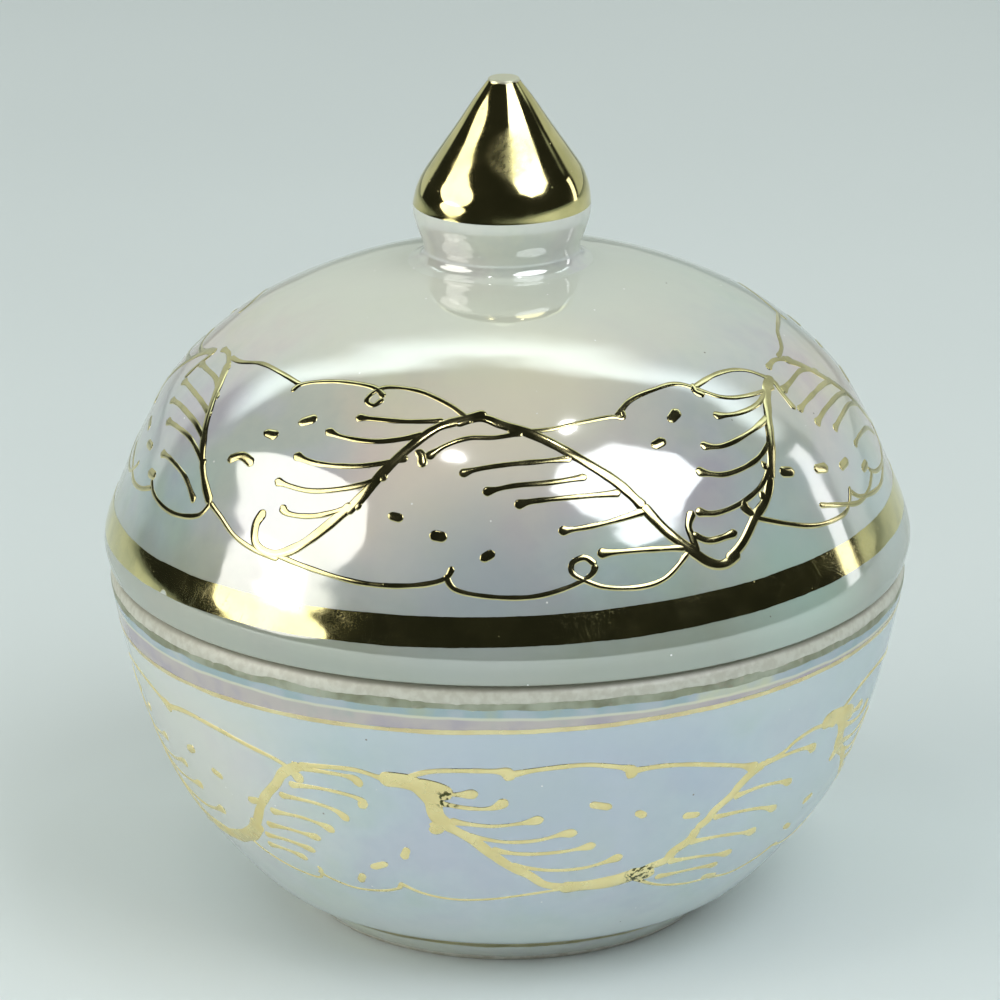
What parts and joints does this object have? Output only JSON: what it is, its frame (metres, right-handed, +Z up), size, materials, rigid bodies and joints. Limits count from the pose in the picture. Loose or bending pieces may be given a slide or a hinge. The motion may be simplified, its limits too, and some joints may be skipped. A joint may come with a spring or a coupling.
{
  "type": "porcelain trinket box",
  "caption": "Round footed porcelain trinket box with a domed lift-off lid, a pointed gilt finial and a raised gilded garland.",
  "frame": {"origin": "centre of the foot ring's underside, where the box stands", "axes": "+Z up along the box's axis, -Y towards the front"},
  "size_m": [0.0902, 0.0902, 0.0948],
  "materials": {
    "pearl_glaze": "glossy mother-of-pearl lustre glaze",
    "bowl_glaze": "glossy mother-of-pearl lustre glaze",
    "foot_biscuit": "glossy outside, unglazed underneath",
    "flange_biscuit": "unglazed biscuit, matte",
    "band_lustre": "metallic blue-grey lustre",
    "bright_gold": "burnished fired-on gold",
    "relief_gold": "fired-on gold over raised slip"
  },
  "bodies": {
    "base": {"bowl": "bowl_glaze", "foot_ring": "foot_biscuit", "foot_gold_line": "bright_gold", "bowl_lower_gold_line": "bright_gold", "bowl_lustre_band": "band_lustre", "bowl_upper_gold_line": "bright_gold", "bowl_garland": "relief_gold"},
    "lid": {"lid_shell": "pearl_glaze", "lid_locating_flange": "flange_biscuit", "lid_gold_band": "bright_gold", "lid_garland": "relief_gold", "finial": "pearl_glaze", "finial_gilding": "bright_gold"}
  },
  "joints": [
    {"name": "lid_lift", "type": "slide", "parent": "base", "child": "lid", "axis": [0, 0, 1], "range_m": [0, 0.09]}
  ]
}
